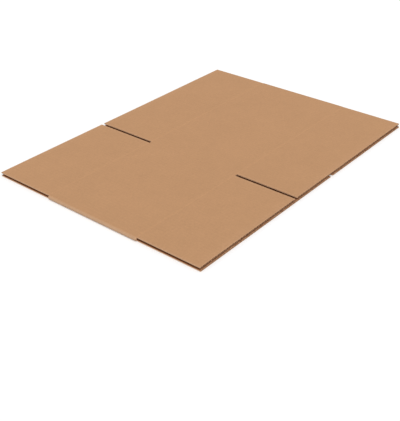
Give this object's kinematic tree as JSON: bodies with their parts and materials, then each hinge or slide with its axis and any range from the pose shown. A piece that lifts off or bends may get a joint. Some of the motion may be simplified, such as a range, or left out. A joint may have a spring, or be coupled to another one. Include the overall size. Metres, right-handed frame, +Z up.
{
  "type": "flattened cardboard box",
  "caption": "Slotted shipping carton of corrugated board, knocked down and lying flat: two layers folded at the sides, with slots, flaps, creases and a glued corner.",
  "frame": {"origin": "middle of the underside, on the surface that the flat box lies on", "axes": "+X across the wall panels, square to the folded sides; +Y along the height of the box, out through the flaps; +Z up through the two layers"},
  "size_m": [0.5644, 0.4148, 0.0071],
  "materials": {
    "kraft_board": "uncoated brown kraft liner, matte"
  },
  "bodies": {
    "root": {"flattened_box": "kraft_board"}
  },
  "joints": []
}
